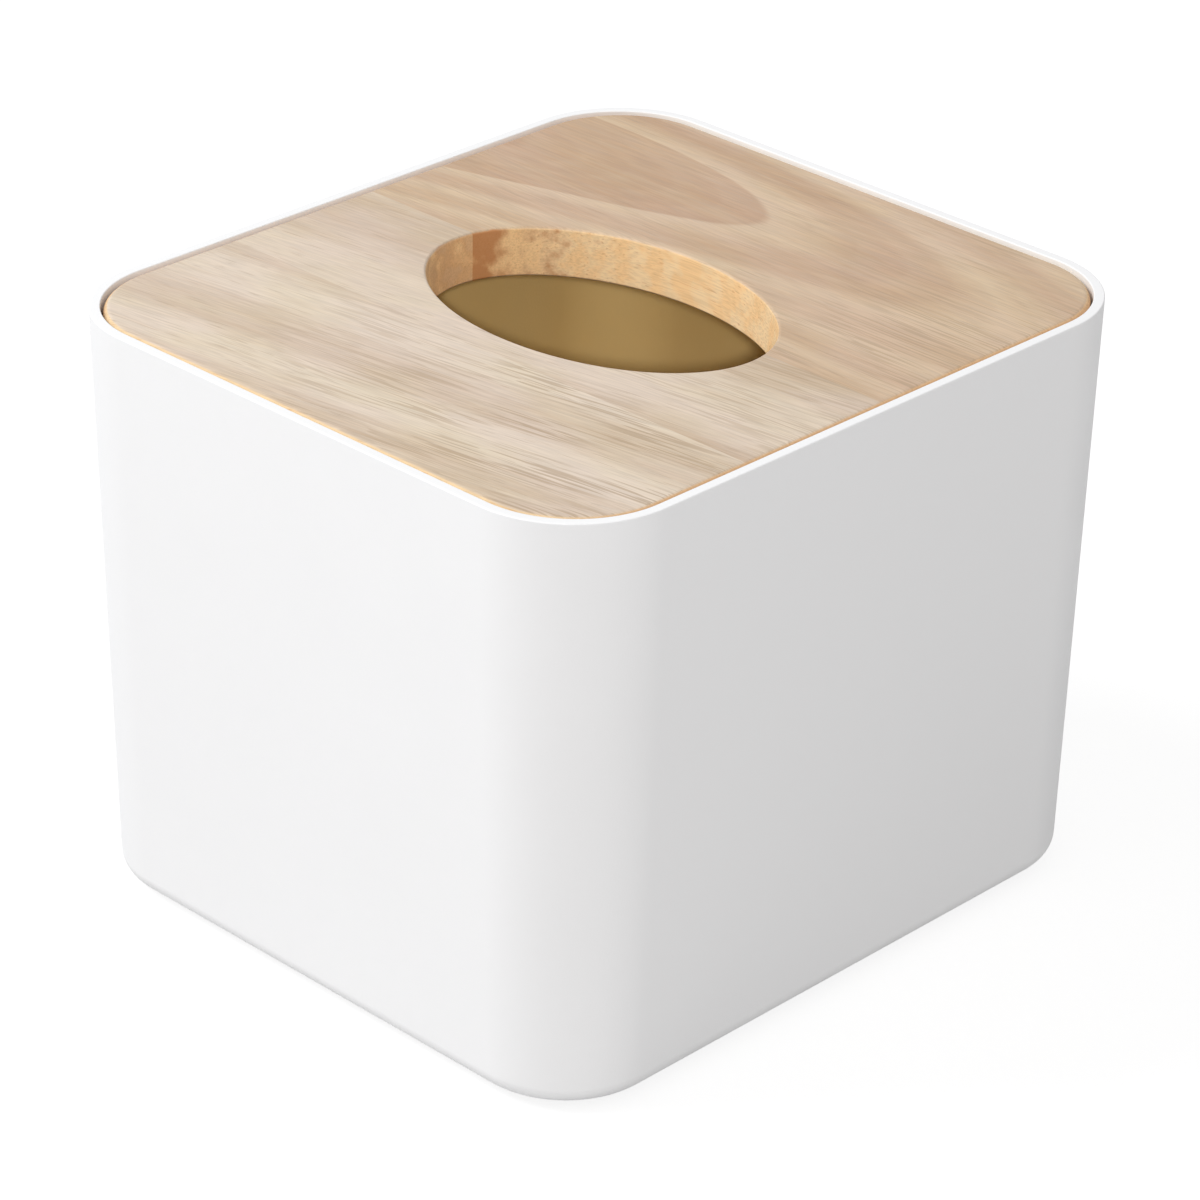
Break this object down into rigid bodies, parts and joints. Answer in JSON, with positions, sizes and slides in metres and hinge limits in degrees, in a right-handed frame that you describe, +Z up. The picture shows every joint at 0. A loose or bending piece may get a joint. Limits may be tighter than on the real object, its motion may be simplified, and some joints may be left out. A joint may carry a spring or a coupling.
{
  "type": "tissue box cover",
  "caption": "White tissue box cover with rounded corners, a lift-off wooden lid, an oval dispensing hole, a tan liner and rubber feet.",
  "frame": {"origin": "on the table, under the middle of the box, at the underside of the feet", "axes": "+Z up, +X along the lid's staves and the oval's long axis, -Y the front"},
  "size_m": [0.133, 0.147, 0.115],
  "materials": {
    "shell_plastic": "fine matte, moulded",
    "liner_board": "smooth matte board",
    "back_stave_wood": "satin, clear oil",
    "middle_stave_wood": "satin, clear oil",
    "front_stave_wood": "satin, clear oil",
    "foot_rubber": "matte"
  },
  "bodies": {
    "case": {"outer_shell": "shell_plastic", "inner_liner": "liner_board", "foot_front_left": "foot_rubber", "foot_front_right": "foot_rubber", "foot_back_left": "foot_rubber", "foot_back_right": "foot_rubber"},
    "lid": {"lid_stave_back": "back_stave_wood", "lid_stave_middle": "middle_stave_wood", "lid_stave_front": "front_stave_wood"}
  },
  "joints": [
    {"name": "lid_lift", "type": "slide", "parent": "case", "child": "lid", "axis": [0, 0, 1], "range_m": [0, 0.06]}
  ]
}
